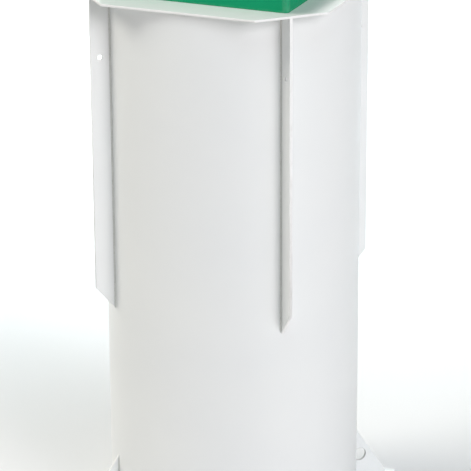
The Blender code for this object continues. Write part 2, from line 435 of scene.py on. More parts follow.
def white_sheet(tree, where, base):
    """Extruded white polypropylene sheet: satin, with faint upright die lines and clouding."""
    # Clouding a third of a metre across, as pigment varies in the melt
    cloud = patches(tree, where, 333.3, 3)
    inputs = {0: cloud, 6: base, 7: tinted(base, 0.975, 0.978, 0.985)}
    colour = add_node(tree, "Mix", inputs, data_type="RGBA").outputs[2]
    # Painted shade on the faces that look up, partly a thin film of dust: they are greyed in
    # patches about 60 mm across
    facing = add_node(tree, "NewGeometry").outputs["Normal"]
    upward = add_node(tree, "SeparateXYZ", {"Vector": facing}).outputs["Z"]
    upward = add_node(tree, "MapRange", {"Value": upward, "From Min": 0.6, "From Max": 0.9})
    top_shade_patches = patches(tree, where, 62.5, 3, 0.7)
    top_shade_and_dust = add_node(tree, "Math", {0: upward, 1: top_shade_patches}, operation="MULTIPLY")
    inputs = {0: top_shade_and_dust, 6: colour, 7: tinted(base, 0.94, 0.95, 0.94)}
    colour = add_node(tree, "Mix", inputs, data_type="RGBA").outputs[2]
    # Die lines run up the sheet, drawn 12 mm apart because real ones are too fine to show
    stretch = (1000 / 11.76, 1000 / 11.76, 1000 / 1429)
    upright = add_node(tree, "Mapping", {"Vector": where, "Scale": stretch})
    lines = add_node(tree, "TexNoise", {"Vector": upright, "Scale": 1, "Roughness": 0.6})
    normal = add_node(tree, "Bump", {"Height": lines, "Distance": 0.00006})
    # Orange peel of the calender rolls, about 5 mm
    peel = add_node(tree, "TexNoise", {"Vector": where, "Scale": 1000 / 5.26})
    normal = add_node(tree, "Bump", {"Height": peel, "Distance": 0.00003, "Normal": normal})
    rough = patches(tree, where, 45.45, 4, 0.34, 0.46)
    return {"Base Color": colour, "Roughness": rough, "Normal": normal, "IOR": 1.49}


def cut_edge(tree, where, base):
    """Cut polypropylene: matt and chalky, crossed by fine tool marks."""
    # Tool marks about 3 mm apart
    inputs = {"Vector": where, "Scale": 1000 / 3.33, "Detail": 3, "Roughness": 0.6}
    marks = add_node(tree, "TexNoise", inputs)
    share = add_node(tree, "MapRange", {"Value": marks, **NOISE_RANGE})
    inputs = {0: share, 6: base, 7: tinted(base, 0.96, 0.96, 0.96)}
    colour = add_node(tree, "Mix", inputs, data_type="RGBA").outputs[2]
    normal = add_node(tree, "Bump", {"Height": marks, "Distance": 0.00008})
    # Handling greys the edges in patches about 40 mm long, and polishes them there
    inputs = {"Vector": where, "Scale": 1000 / 41.67, "Detail": 4, "Roughness": 0.6}
    handled = add_node(tree, "TexNoise", inputs)
    share = add_node(tree, "MapRange", {"Value": handled, "From Min": 0.46, "From Max": 0.72})
    inputs = {0: share, 6: colour, 7: tinted(base, 0.90, 0.90, 0.89)}
    colour = add_node(tree, "Mix", inputs, data_type="RGBA").outputs[2]
    inputs = {"Value": handled, "From Min": 0.45, "From Max": 0.65, "To Min": 0.66, "To Max": 0.48}
    rough = add_node(tree, "MapRange", inputs)
    return {"Base Color": colour, "Roughness": rough, "Normal": normal, "IOR": 1.49}


def weld_bead(tree, where, base):
    """Extrusion-welded polypropylene: smoother and glossier than the sheet, faintly waxy."""
    # Its grey base colour paints shade into the corners the beads fill, with the greyer rod's own
    # tone
    # Clouding about 17 mm across, and gloss that varies every 8 mm
    cloud = patches(tree, where, 16.67, 3)
    inputs = {0: cloud, 6: base, 7: tinted(base, 0.93, 0.93, 0.92)}
    colour = add_node(tree, "Mix", inputs, data_type="RGBA").outputs[2]
    rough = patches(tree, where, 7.69, 2, 0.24, 0.40)
    # Grain of the melt, drawn at 2.5 mm
    grain = add_node(tree, "TexNoise", {"Vector": where, "Scale": 1000 / 2.5})
    normal = add_node(tree, "Bump", {"Height": grain, "Distance": 0.00005})
    return {"Base Color": colour, "Roughness": rough, "Normal": normal, "IOR": 1.49}


def green_sheet(tree, where, base):
    """Pigmented green polypropylene sheet: an even satin green with a fine grain."""
    # Uneven pigment, about 140 mm across
    cloud = patches(tree, where, 142.9, 3)
    inputs = {0: cloud, 6: base, 7: tinted(base, 0.90, 0.94, 0.92)}
    colour = add_node(tree, "Mix", inputs, data_type="RGBA").outputs[2]
    # Folds and corners are rubbed paler, in patches about 20 mm long
    inputs = {"Vector": where, "Scale": 1000 / 20, "Detail": 4, "Roughness": 0.6}
    worn = add_node(tree, "TexNoise", inputs)
    inputs = {"Value": worn, "From Min": 0.38, "From Max": 0.62, "To Min": 0.04, "To Max": 0.30}
    worn = add_node(tree, "MapRange", inputs)
    rubbed = add_node(tree, "Attribute", attribute_name="rubbed").outputs["Fac"]
    share = add_node(tree, "Math", {0: rubbed, 1: worn}, operation="MULTIPLY")
    inputs = {0: share, 6: colour, 7: (*[0.75 * c + 0.16 for c in base[:3]], 1.0)}
    colour = add_node(tree, "Mix", inputs, data_type="RGBA").outputs[2]
    # Slow dents about 80 mm across, and the pressed sheet's grain, drawn at 3 mm
    dents = add_node(tree, "TexNoise", {"Vector": where, "Scale": 1000 / 83.33, "Detail": 1})
    normal = add_node(tree, "Bump", {"Height": dents, "Distance": 0.0004})
    grain = add_node(tree, "TexNoise", {"Vector": where, "Scale": 1000 / 3.03})
    normal = add_node(tree, "Bump", {"Height": grain, "Distance": 0.00003, "Normal": normal})
    rough = patches(tree, where, 33.33, 4, 0.44, 0.56)
    inputs = {"Base Color": colour, "Roughness": rough, "Normal": normal, "IOR": 1.49}
    return {**inputs, "Specular IOR Level": 0.15}


def brushed_steel(tree, where, base):
    """Brushed stainless steel: long fine scratches along the hinge spread its highlights."""
    # Brush marks half a millimetre apart along the leaf
    stretch = (1000 / 16.67, 1000 / 0.5, 1000 / 0.5)
    along = add_node(tree, "Mapping", {"Vector": where, "Scale": stretch})
    inputs = {"Vector": along, "Scale": 1, "Detail": 3, "Roughness": 0.6}
    marks = add_node(tree, "TexNoise", inputs)
    share = add_node(tree, "MapRange", {"Value": marks, **NOISE_RANGE})
    inputs = {0: share, 6: base, 7: tinted(base, 0.86, 0.86, 0.86)}
    colour = add_node(tree, "Mix", inputs, data_type="RGBA").outputs[2]
    inputs = {"Value": marks, **NOISE_RANGE, "To Min": 0.24, "To Max": 0.42}
    rough = add_node(tree, "MapRange", inputs)
    normal = add_node(tree, "Bump", {"Height": marks, "Distance": 0.00002})
    return {"Base Color": colour, "Roughness": rough, "Normal": normal, "Metallic": 1.0}


def painted_floor(tree, where, base):
    """Matt painted studio floor, even and pale."""
    # Clouding over a metre across
    cloud = patches(tree, where, 1429, 2)
    inputs = {0: cloud, 6: base, 7: tinted(base, 0.99, 0.99, 0.99)}
    colour = add_node(tree, "Mix", inputs, data_type="RGBA").outputs[2]
    # The roller's texture, about 3 mm
    grain = add_node(tree, "TexNoise", {"Vector": where, "Scale": 1000 / 2.86})
    normal = add_node(tree, "Bump", {"Height": grain, "Distance": 0.00005})
    return {"Base Color": colour, "Roughness": 0.9, "Normal": normal}


MATERIALS = {
    "white_sheet": ("extruded_white_polypropylene_sheet", white_sheet),
    # Paler than the sheet: partly the whiter cut, partly a painted highlight on the edges
    "sawn_edge": ("sawn_white_polypropylene_edge", cut_edge),
    # Greyer than the sawn edges: painted shade inside the gussets' holes
    "bore_painted_shade": ("bored_white_polypropylene_edge", cut_edge),
    "weld_bead": ("extruded_white_polypropylene_weld", weld_bead),
    "green_sheet": ("pigmented_green_polypropylene_sheet", green_sheet),
    "steel": ("brushed_stainless_steel", brushed_steel),
    "floor": ("matt_painted_floor", painted_floor),
}


# Pieces


def build_wall(sizes, colours):
    """The round shell: radius R + waves in angle and height, outside and inside.

    A wave lifts the wall by its share times cos(n angle + m height + start).
    """
    angles = np.linspace(0, TAU, WALL_COLUMNS, endpoint=False)[None]
    low, high = BASE_TOP - WALL_SEAT, FLANGE_LOW + WALL_SEAT
    heights = np.linspace(low, high, WALL_ROWS)[:, None]
    lift, round_slope, rise_slope = np.zeros((3, WALL_ROWS, WALL_COLUMNS))
    for share, number, twist, start in WALL_WAVES:
        phase = number * angles + twist * heights + start
        lift += sizes.wall_wave * share * np.cos(phase)
        round_slope -= sizes.wall_wave * share * number * np.sin(phase)
        rise_slope -= sizes.wall_wave * share * twist * np.sin(phase)
    ray = lifted(circling(angles), 0)
    along = np.stack([-ray[..., 1], ray[..., 0], 0 * ray[..., 0]], -1)

    def skin(radius):
        return (radius + lift)[..., None] * ray + heights[..., None] * UP

    lean = round_slope[..., None] / WALL_RADIUS * along + rise_slope[..., None] * UP
    facing = unit(ray - lean)
    grid = np.concatenate([skin(WALL_RADIUS), skin(WALL_INSIDE)[::-1]])
    made = shell(grid, np.concatenate([facing, -facing[::-1]]))
    nodes = [f"wall_segment_{i:02d}" for i in range(1, 13)]
    sheet = finishes(colours, "white_sheet")
    add_piece("tank_wall", [made], sheet, *nodes)


def build_base(sizes, colours):
    """The square base plate, a flat plate with eased edges."""
    made = plate(square(HALF_PLATE, PLATE_CORNER), None, BASE_TOP, sizes.edge_ease)
    made = placed(made, (0, 0, BASE_TOP / 2))
    sheet = finishes(colours, "white_sheet", "sawn_edge")
    add_piece("base_sheet", [made], sheet, "base_plate")


def build_flange(sizes, colours):
    """The top flange: an eight-sided plate and the square mouth, met by the same rays."""
    along = FLANGE_CORNER * math.sqrt(2) - HALF_PLATE
    cut = np.array([(along, -HALF_PLATE), (HALF_PLATE, -along)])
    outline = polygon(np.concatenate([cut @ turn for turn in QUARTER_TURNS]), PLATE_CORNER)
    outer, mouth = with_square_hole(outline, HALF_MOUTH, MOUTH_CORNER, 96)
    made = plate(outer, mouth, FLANGE_HIGH - FLANGE_LOW, sizes.edge_ease)
    made = placed(made, (0, 0, (FLANGE_LOW + FLANGE_HIGH) / 2))
    sheet = finishes(colours, "white_sheet", "sawn_edge")
    add_piece("flange_sheet", [made], sheet, "top_flange")


def build_upright_plates(kind, corners, hole, sheet, sizes):
    """Four plates with a round hole, each standing in a diagonal's radial plane."""
    outer, bore = with_round_hole(polygon(corners, UPRIGHT_CORNER), *hole)
    made = plate(outer, bore, RIB_THICKNESS, sizes.edge_ease, bored=2)
    for place, degrees in DIAGONALS.items():
        x, y = circling(math.radians(degrees))
        stood = placed(made, (0, 0, 0), (x, y, 0), UP, (y, -x, 0))
        name, node = f"{kind}_sheet_{place}", f"{kind}_{place}"
        add_piece(name, [stood], sheet, node)


def build_ribs(sizes, colours):
    """Ribs under the flange's cut corners, with a lifting hole and a slanted lower end."""
    wall, top = WALL_RADIUS - ROOT, FLANGE_LOW + SEAT
    slant = (RIB_EDGE_LOW - RIB_LOW) / (RIB_OUTSIDE - WALL_RADIUS)
    corners = [
        (wall, RIB_LOW - ROOT * slant),
        (RIB_OUTSIDE, RIB_EDGE_LOW),
        (RIB_OUTSIDE, top),
        (wall, top),
    ]
    sheet = finishes(colours, "white_sheet", "sawn_edge", "sawn_edge")
    build_upright_plates("rib", corners, RIB_HOLE, sheet, sizes)


def build_gussets(sizes, colours):
    """Triangular gussets on the base plate, with a large round hole and a blunt toe."""
    wall, foot = WALL_RADIUS - ROOT, BASE_TOP - SEAT
    slant = (GUSSET_HIGH - GUSSET_TOE_HIGH) / (GUSSET_TOE - WALL_RADIUS)
    corners = [
        (wall, foot),
        (GUSSET_TOE, foot),
        (GUSSET_TOE, GUSSET_TOE_HIGH),
        (wall, GUSSET_HIGH + ROOT * slant),
    ]
    # The holes' bores get a darker grey: painted shade inside the holes
    sheet = finishes(colours, "white_sheet", "sawn_edge", "bore_painted_shade")
    build_upright_plates("gusset", corners, GUSSET_HOLE, sheet, sizes)


def build_neck(sizes, colours):
    """The hatch neck: a square collar round the mouth, its rim eased."""
    outside = square(NECK_OUTSIDE, NECK_CORNER)
    outer, inner = with_square_hole(outside, HALF_MOUTH, NECK_INNER_CORNER, 64)
    height = NECK_TOP - FLANGE_HIGH + NECK_SEAT
    made = plate(outer, inner, height, sizes.edge_ease, face=1, edge=0)
    made = placed(made, (0, 0, NECK_TOP - height / 2))
    sheet = finishes(colours, "white_sheet", "sawn_edge")
    nodes = ["neck_" + side for side in SIDES]
    add_piece("hatch_neck", [made], sheet, *nodes)


def folded(corners, radii, steps=5):
    """Points and directions along a path of straight parts with rounded folds.

    Each fold is an arc between two shoulders, and the last array is 1 on an arc, else 0.
    """
    corners = np.asarray(corners, float)
    parts = np.diff(corners, axis=0)
    along = unit(parts)
    length = np.linalg.norm(parts, axis=1, keepdims=True)
    shoulder = np.minimum(SHOULDER, SHOULDER_SHARE * length)
    points, directions, bent = [corners[:1]], [along[:1]], [[0]]
    for k, radius in enumerate(radii, start=1):
        before, after = along[k - 1], along[k]
        turn = math.atan2(before[0] * after[1] - before[1] * after[0], before @ after)
        side = math.copysign(1, turn) * np.array([-before[1], before[0]])
        start = corners[k] - radius * math.tan(abs(turn) / 2) * before
        share = np.linspace(0, abs(turn), steps + 1)[:, None]
        bend = start + radius * (np.sin(share) * before + (1 - np.cos(share)) * side)
        ends = start - shoulder[k - 1] * before, bend[-1] + shoulder[k] * after
        points += [ends[0][None], bend, ends[1][None]]
        directions += [before[None], np.cos(share) * before + np.sin(share) * side, after[None]]
        bent.append([0, *[1] * (steps + 1), 0])
    points.append(corners[-1:])
    directions.append(along[-1:])
    bent.append([0])
    return np.concatenate(points), np.concatenate(directions), np.concatenate(bent)


def build_lid(sizes, colours):
    """The lid: a folded profile (reach, height) carried round a rounded square.

    A point is reach ((1 - k) S + k n), with S on the unit square's edge, n the direction
    outwards there and k the corner radius as a share of the reach. Its normal turns the
    profile's direction by a right angle, its reach scaled by (1 - k) S . n + k.
    """
    low, inner = LID_LOW, HALF_LID - LID_SKIRT_SHEET
    eaves = LID_HIGH - LID_SLOPE * (HALF_LID - HALF_CROWN)
    depth = LID_TOP_SHEET * math.hypot(1, LID_SLOPE)
    under = eaves + LID_SLOPE * LID_SKIRT_SHEET - depth
    ceiling = LID_HIGH - LID_TOP_SHEET
    inner_crown = inner - (ceiling - under) / LID_SLOPE
    ease = sizes.edge_ease
    corners = [
        (CROWN_MIDDLE, LID_HIGH),
        (HALF_CROWN, LID_HIGH),
        (HALF_LID, eaves),
        (HALF_LID, low),
        (inner, low),
        (inner, under),
        (inner_crown, ceiling),
        (CROWN_MIDDLE, ceiling),
    ]
    folds = [sizes.lid_fold, sizes.lid_fold, ease, ease, *LID_INNER_FOLDS]
    path, heading, bent = folded(corners, folds)
    outside = sizes.lid_corner / HALF_LID
    inside = (sizes.lid_corner - LID_SKIRT_SHEET) / inner
    is_inner = np.arange(len(path)) >= len(path) // 2
    reach, height = path[:, :1], path[:, 1:]
    corner = np.where(is_inner[:, None], inside, outside)
    arc = circling(np.linspace(0, math.pi / 2, 9))
    quarter_n = np.concatenate([[[1, 0], [1, 0]], arc, [[0, 1]]])
    quarter_s = np.concatenate([[[1, 0], [1, SIDE_END]], np.ones((9, 2)), [[SIDE_END, 1]]])
    facing = np.concatenate([quarter_n @ turn for turn in QUARTER_TURNS])[None]
    rim = np.concatenate([quarter_s @ turn for turn in QUARTER_TURNS])[None]
    flat = reach[..., None] * ((1 - corner[..., None]) * rim + corner[..., None] * facing)
    grid = lifted(flat, height[..., None])
    scale = (1 - corner) * (rim * facing).sum(-1) + corner
    out = -heading[:, 1:, None]
    rise = heading[:, :1] * scale
    made = shell(grid, unit(lifted(out * facing, rise[..., None])), close_rows=False)
    nodes = ["lid_crown"]
    for side in SIDES:
        nodes += ["lid_skirt_" + side, "lid_slope_" + side]
    sheet = finishes(colours, "green_sheet")
    slot = "green_polypropylene"
    lid = add_piece("lid_shell", [made], sheet, *nodes, body="lid", slot=slot)
    is_side = (np.arange(len(path)) > bent.argmax()) & ~is_inner
    is_corner = np.tile((quarter_s == 1).all(1), 4)
    rubbed = np.maximum((bent * ~is_inner)[:, None], is_side[:, None] & is_corner)
    rubbed = np.append(rubbed.ravel(), [0, 0]).astype(np.float32)
    lid.data.attributes.new("rubbed", "FLOAT", "POINT").data.foreach_set("value", rubbed)


def bead(path, first, second, sizes, leg=None, closed=False):
    """A convex weld in a corner: its section is an arc from one plate to the other.

    A point is p + leg r (cos t a + sin t b): p runs along the corner, a and b point away
    from it along the two plates, and r ripples along the path and shrinks at open ends.
    """
    leg = leg or sizes.weld_leg
    step = np.linalg.norm(np.diff(path, axis=0), axis=1)
    run = np.concatenate([[0], np.cumsum(step)])
    pitch = sizes.ripple_pitch
    if closed:
        total = run[-1] + np.linalg.norm(path[0] - path[-1])
        pitch = total / round(total / pitch)
    phase = TAU * run / pitch
    if closed:
        size = 1 + sizes.ripple_height * np.cos(phase)
    else:
        # An open bead's ripples drift to and fro by 0.7 rad in every five of them
        size = 1 + sizes.ripple_height * np.cos(phase + 0.7 * np.sin(phase / 5))
        ends = np.minimum(1, np.minimum(run, run[-1] - run) / BEAD_TAPER)
        size *= BEAD_END + (1 - BEAD_END) * np.sqrt(ends * (2 - ends))
    turn = np.radians(np.linspace(*BEAD_TURN, 8))[None, :, None]
    first, second = (np.broadcast_to(a, path.shape)[:, None] for a in (first, second))
    arc = np.cos(turn) * first + np.sin(turn) * second
    middle = path[:, None]
    back = middle - BEAD_BACK * (first + second)
    grid = np.concatenate([middle + leg * size[:, None, None] * arc, back], 1)
    return shell(grid, close_rows=closed)


def line(start, end):
    """Even points from one place to another."""
    start, end = np.array(start, float), np.array(end, float)
    parts = math.ceil(np.linalg.norm(end - start) / BEAD_STEP)
    return start + np.linspace(0, 1, parts + 1)[:, None] * (end - start)


def ring(radius, height):
    """Points round the tank at a radius and height, with the outward directions there."""
    angles = np.linspace(0, TAU, round(TAU * radius / BEAD_STEP), endpoint=False)
    ray = lifted(circling(angles), 0)
    return radius * ray + height * UP, ray


def build_welds(sizes, colours):
    """Weld beads in the corners where plates meet the wall, the flange and the base."""
    weld = finishes(colours, "weld_bead")
    half = RIB_THICKNESS / 2
    base, top = BASE_TOP * UP, FLANGE_LOW * UP
    rib_beads, gusset_beads, round_beads = [], [], []
    for degrees in DIAGONALS.values():
        out = np.array([*circling(math.radians(degrees)), 0])
        for side in (1, -1):
            away = side * np.cross(out, UP)
            at = WALL_RADIUS * out + half * away
            tip = (RIB_OUTSIDE - WALL_RADIUS - BEAD_STOP) * out
            toe = (GUSSET_TOE - WALL_RADIUS - BEAD_STOP) * out
            for beads, start, end, along in (
                (rib_beads, (RIB_LOW + BEAD_STOP) * UP, top, out),
                (rib_beads, top, top + tip, -UP),
                (gusset_beads, base, (GUSSET_HIGH - GUSSET_BEAD_STOP) * UP, out),
                (gusset_beads, base, base + toe, UP),
            ):
                beads.append(bead(line(at + start, at + end), along, away, sizes))
    for radius, height, sign, rise in (
        (WALL_RADIUS, BASE_TOP, 1, 1),
        (WALL_RADIUS, FLANGE_LOW, 1, -1),
        (WALL_INSIDE, BASE_TOP, -1, 1),
    ):
        path, out = ring(radius, height)
        round_beads.append(bead(path, sign * out, rise * UP, sizes, closed=True))
    points, normals = square(NECK_OUTSIDE, NECK_CORNER)
    path, out = lifted(points, FLANGE_HIGH), lifted(normals, 0)
    foot = bead(path, out, UP, sizes, leg=NECK_BEAD * sizes.weld_leg, closed=True)
    add_piece("rib_welds", rib_beads, weld)
    add_piece("gusset_welds", gusset_beads, weld)
    add_piece("wall_welds", round_beads, weld)
    add_piece("neck_weld", [foot], weld)


def turned_rod(radii, places, count=24):
    """A rod about the x axis: rows of circles at these places with these radii."""
    angles = np.linspace(0, TAU, count, endpoint=False)
    ray = circling(angles)[None]
    flat = np.asarray(radii, float)[:, None, None] * ray
    along = np.asarray(places, float)[:, None, None] + 0 * flat[..., :1]
    return shell(np.concatenate([along, flat], -1), close_rows=False)


def screw_head():
    """A button-head screw on z = 0 with a six-sided socket, rows of rings from rim to socket."""
    angles = np.linspace(0, TAU, 24, endpoint=False)
    ray = circling(angles)
    rim = SCREW_RADIUS * ray
    flats = (angles + math.pi / 6) % (math.pi / 3) - math.pi / 6
    hexagon = (SOCKET_HALF / np.cos(flats))[:, None] * ray
    rows = [(rim, -SCREW_SUNK), (rim, SCREW_RIM)]
    for turn in np.linspace(0.15, 1.0, 5) * math.pi / 2:
        level = SCREW_RIM + SCREW_DOME * math.sin(turn)
        rows.append(((0.5 + 0.5 * math.cos(turn)) * rim, level))
    rows += [(hexagon, SOCKET_HIGH), (SOCKET_TAPER * hexagon, SOCKET_LOW)]
    levels = np.array([level for _, level in rows])[:, None, None]
    flat = np.array([points for points, _ in rows])
    return shell(lifted(flat, levels), close_rows=False)


def leaf_shells(knuckles):
    """A hinge leaf, its knuckles round the pin and its three screws, about the pin's middle.

    x runs along the pin, y across the leaf and z out of its seat.
    """
    half, seat, top = LEAF_HALF_LENGTH, -LEAF_SEAT, LEAF_THICKNESS - LEAF_SEAT
    corners = [(-half, LEAF_NEAR), (half, LEAF_NEAR), (half, LEAF_FAR), (-half, LEAF_FAR)]
    sheet = plate(polygon(corners, LEAF_CORNER), None, LEAF_THICKNESS, LEAF_EASE, edge=0)
    shells = [placed(sheet, (0, 0, (seat + top) / 2))]
    discs = [
        (WRAP_START, seat + WRAP_INSET, LEAF_EASE),
        (WRAP_START, top - WRAP_INSET, LEAF_EASE),
        (0, 0, KNUCKLE_RADIUS),
    ]
    outline = belt(discs, steps=20, spacing=0.002)
    outer, bore = with_round_hole(outline, 0, 0, PIN_RADIUS + BORE_PLAY, 24)
    for start, end in knuckles:
        made = plate(outer, bore, end - start, KNUCKLE_EASE, edge=0)
        shells.append(placed(made, ((start + end) / 2, 0, 0), REARWARD, UP, ACROSS))
    shells += [placed(screw_head(), (x, y, top)) for x, y in SCREW_PLACES]
    return shells


def build_hinges(colours):
    """Two hinges: a leaf on the lid's rear skirt, a leaf on the flange and a pin each."""
    steel = finishes(colours, "steel")
    slot = "stainless_steel"
    half, third = LEAF_HALF_LENGTH, LEAF_HALF_LENGTH / 3
    lid_leaf = leaf_shells([(KNUCKLE_PLAY - third, third - KNUCKLE_PLAY)])
    flange_leaf = leaf_shells([(-half, -third), (third, half)])
    end = half + PIN_PROUD
    rows = [(inset - end, radius) for inset, radius in PIN_END]
    rows += [(end - inset, radius) for inset, radius in reversed(PIN_END)]
    places, radii = zip(*rows)
    pin = turned_rod(radii, places)
    for side, at in HINGE.items():
        parts = {
            "lid_hinge_leaf_": (lid_leaf, (-ACROSS, UP, REARWARD), "lid", "lid_leaf_"),
            "flange_hinge_leaf_": (flange_leaf, (), "tank", "flange_leaf_"),
            "turned_pin_": ([pin], (), "tank", "hinge_pin_"),
        }
        for name, (shells, axes, body, node) in parts.items():
            moved = [placed(made, at, *axes) for made in shells]
            add_piece(name + side, moved, steel, node + side, body=body, slot=slot)


# Studio

CAMERA_AZIMUTH = 22.9  # degrees to the right of the tank's front
CAMERA_PITCH = 20.2308
CAMERA_ROLL = -0.3154
CAMERA_PLACE = (0.00842, -8.32548, 4.04746)  # before it is turned by its azimuth
CAMERA_LENS = 203.476

# name: azimuth from the camera's, elevation, colour
LIGHTS = {
    "left_high": (-90, 42, "#FFFAF1"),
    "left_rear": (-120, 42, "#FFFBF6"),
    "rear_left": (-150, 42, "#FFFFFF"),
    "rear": (180, 25, "#FFFFFF"),
    "right_front": (35, 25, "#FFFAFD"),
    "right_low": (60, 10, "#ECF7FF"),
    "front_high": (10, 60, "#E8F8FF"),
}
LIGHT_DISTANCE = 54.0  # far off, so that the tank's foot is lit as its top is
LIGHT_SIZE = 21.6
LIGHT_AIM = 1.0  # height of the place on the tank's axis that every light faces
BACKDROP_LIGHT = (0, 5.5, 6.0)  # over the floor behind the tank, before the camera's turn
BACKDROP_SIZE = 5.0
BACKDROP_SPREAD = 70  # degrees, so that it stays off the tank
BACKDROP_COLOUR = "#E3F6FF"
AIR_SEEN = 0.85  # strength of the air that the camera sees beyond the floor
FLOOR_RADII = (0.5, 2.0, 8.0, 40.0)  # the last far beyond the view
FLOOR_COLUMNS = 96
FLOOR_HEIGHT = -0.0008  # just clear of the base plate


def add_light(name, power, colour, place, target, size, spread=180):
    """A square soft box at a place, turned to a target."""
    light = bpy.data.lights.new(name, "AREA")
    light.shape, light.size, light.spread = "SQUARE", size, math.radians(spread)
    light.energy, light.color = power, linear(colour)[:3]
    made = new_object(name, light)
    made.location = place
    made.rotation_mode = "QUATERNION"
    made.rotation_quaternion = (target - place).to_track_quat("-Z", "Y")
    made.visible_camera = False


def build_lights(studio):
    """Soft boxes all round, at azimuths from the camera's, and one over the backdrop."""
    turn = Matrix.Rotation(math.radians(CAMERA_AZIMUTH), 3, "Z")
    aim = Vector((0, 0, LIGHT_AIM))
    for name, (azimuth, elevation, colour) in LIGHTS.items():
        angle, rise = math.radians(azimuth), math.radians(elevation)
        level = math.cos(rise)
        back = turn @ Vector((math.sin(angle) * level, -math.cos(angle) * level, math.sin(rise)))
        place = aim + LIGHT_DISTANCE * back
        add_light(name, getattr(studio, name), colour, place, aim, LIGHT_SIZE)
    over = turn @ Vector(BACKDROP_LIGHT)
    below = over * Vector((1, 1, 0))
    size, spread = BACKDROP_SIZE, BACKDROP_SPREAD
    add_light("backdrop", studio.backdrop, BACKDROP_COLOUR, over, below, size, spread)


def build_floor(colours):
    """A round floor: rings of points about the tank's axis, and one in their middle."""
    count = FLOOR_COLUMNS
    rays = circling(np.linspace(0, TAU, count, endpoint=False))
    flat = np.concatenate([radius * rays for radius in FLOOR_RADII] + [[[0, 0]]])
    column = np.arange(count)
    after = (column + 1) % count
    near = count * np.arange(len(FLOOR_RADII) - 1)[:, None]
    far = near + count
    quads = np.stack([near + column, far + column, far + after, near + after], -1)
    fan = np.stack([np.full(count, len(flat) - 1), column, after], -1)
    mesh = bpy.data.meshes.new("studio_floor")
    faces = quads.reshape(-1, 4).tolist() + fan.tolist()
    mesh.from_pydata(lifted(flat, FLOOR_HEIGHT), [], faces)
    mesh.materials.append(finishes(colours, "floor")[0])
    new_object("studio_floor", mesh)


def build_camera():
    """The camera at the photograph's viewing angle."""
    camera = new_object("camera", bpy.data.cameras.new("camera"))
    camera.data.sensor_width = 36
    camera.data.lens = CAMERA_LENS
    camera.data.clip_end = 200
    turn = Matrix.Rotation(math.radians(CAMERA_AZIMUTH), 4, "Z")
    pitch = Matrix.Rotation(math.radians(90 - CAMERA_PITCH), 4, "X")
    roll = Matrix.Rotation(math.radians(CAMERA_ROLL), 4, "Z")
    camera.matrix_world = turn @ Matrix.Translation(CAMERA_PLACE) @ pitch @ roll
    bpy.context.scene.camera = camera


def build_world(studio):
    """Even pale light from all round, brighter where the camera sees it beyond the floor."""
    world = bpy.data.worlds.new("studio_air")
    world.use_nodes = True
    tree = world.node_tree
    tree.nodes.clear()
    seen = add_node(tree, "LightPath").outputs["Is Camera Ray"]
    inputs = {"Value": seen, "To Min": studio.air_strength, "To Max": AIR_SEEN}
    strength = add_node(tree, "MapRange", inputs)
    sky = add_node(tree, "Background", {"Color": tuple(studio.air), "Strength": strength})
    add_node(tree, "OutputWorld", {"Surface": sky})
    bpy.context.scene.world = world


def build_studio(studio, colours):
    """The floor, the lights, the air and the camera."""
    build_floor(colours)
    build_lights(studio)
    build_world(studio)
    build_camera()
    bpy.context.scene.view_settings.view_transform = "Standard"


# Add-on


def length_property(name, description, length, low, high):
    """A length a user may change, in metres, with its limits."""
    return FloatProperty(
        name=name, description=description, default=length, min=low, max=high, unit="LENGTH"
    )


class TankSizes(bpy.types.PropertyGroup):
    """Sizes of the finish that a user may change."""

    edge_ease: length_property(
        "Edge easing", "Radius on the sheets' cut edges", 0.0012, 0.0003, 0.0025
    )
    wall_wave: length_property(
        "Wall wave", "How far the rolled wall leaves a true circle", 0.0005, 0.0, 0.0015
    )
    lid_corner: length_property(
        "Lid corner", "Radius of the lid's upright corners", 0.014, 0.0105, 0.030
    )
    lid_fold: length_property(
        "Lid fold", "Radius of the folds at the lid's eaves and crown", 0.010, 0.003, 0.025
    )
    weld_leg: length_property(
        "Weld leg", "Width of a weld bead along each plate", 0.0045, 0.003, 0.008
    )
    ripple_pitch: length_property(
        "Ripple pitch", "Distance between the ripples on a weld bead", 0.010, 0.006, 0.03
    )
    ripple_height: FloatProperty(
        name="Ripple height",
        description="Height of the ripples as a share of the bead's leg",
        default=0.05,
        min=0.0,
        max=0.2,
        subtype="FACTOR",
    )


def colour_property(name, description, colour):
    """A colour a user may change, with an sRGB hex default."""
    return FloatVectorProperty(
        name=name,
        description=description,
        default=linear(colour),
        size=4,
        min=0.0,
        max=1.0,
        subtype="COLOR",
    )


class TankColours(bpy.types.PropertyGroup):
    """Colours of the finishes that a user may change."""

    white_sheet: colour_property("White sheet", "Colour of the white sheets", "#EEF0EF")
    # Paler than the sheet: partly the whiter cut, partly a painted highlight on the edges
    sawn_edge: colour_property("Sawn edge", "Colour of the white sheets' edges", "#F9F9F8")
    # Darker than the sawn edges: painted shade inside the gussets' holes
    bore_painted_shade: colour_property("Bored edge", "Colour inside the large holes", "#C6C6C4")
    # Greyer than the sheet: partly the greyer weld rod, partly painted shade in the corners where
    # the beads lie
    weld_bead: colour_property("Weld bead", "Colour of the weld beads", "#D8D9D6")
    green_sheet: colour_property("Green sheet", "Colour of the lid", "#0E9F6E")
    steel: colour_property("Steel", "Colour of the hinges", "#CBC9C4")
    floor: colour_property("Floor", "Colour of the studio floor", "#E1E1E0")


def power_property(name, power):
    """A soft box's power, in watts, that a user may change."""
    description = f"Power of the {name.lower()} soft box"
    return FloatProperty(name=name, description=description, default=power, min=0.0, unit="POWER")


